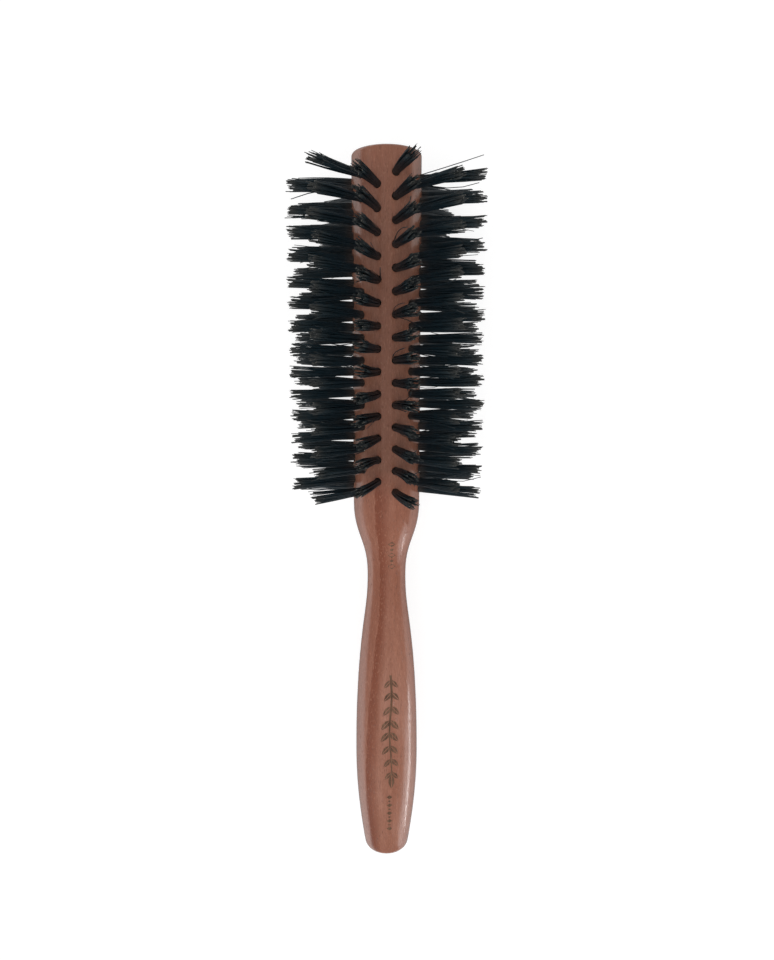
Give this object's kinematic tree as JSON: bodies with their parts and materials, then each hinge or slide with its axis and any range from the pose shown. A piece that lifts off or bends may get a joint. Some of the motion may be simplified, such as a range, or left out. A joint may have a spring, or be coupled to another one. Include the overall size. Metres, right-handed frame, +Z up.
{
  "type": "round barrel brush",
  "caption": "Round hair brush: a turned wooden barrel ringed by staggered rows of dark bristle tufts, with a slim neck, swelled handle and flat butt.",
  "frame": {"origin": "on the table under the brush axis, at the middle of the overall length", "axes": "+X along the brush axis from the butt to the barrel end, +Z up, the brush lying on the tips of its two lowest rows of tufts"},
  "size_m": [0.232, 0.059, 0.0589],
  "materials": {
    "wood": "satin lacquer over reddish brown hardwood",
    "bristle": "near-black natural bristle with a slight sheen",
    "anchor": "drawn flat wire"
  },
  "bodies": {
    "root": {"turned_body": "wood", "tuft_row_01": "bristle", "tuft_row_02": "bristle", "tuft_row_03": "bristle", "tuft_row_04": "bristle", "tuft_row_05": "bristle", "tuft_row_06": "bristle", "tuft_row_07": "bristle", "tuft_row_08": "bristle", "tuft_row_09": "bristle", "tuft_row_10": "bristle", "tuft_row_11": "bristle", "tuft_row_12": "bristle", "anchor_row_01": "anchor", "anchor_row_02": "anchor", "anchor_row_03": "anchor", "anchor_row_04": "anchor", "anchor_row_05": "anchor", "anchor_row_06": "anchor", "anchor_row_07": "anchor", "anchor_row_08": "anchor", "anchor_row_09": "anchor", "anchor_row_10": "anchor", "anchor_row_11": "anchor", "anchor_row_12": "anchor"}
  },
  "joints": []
}
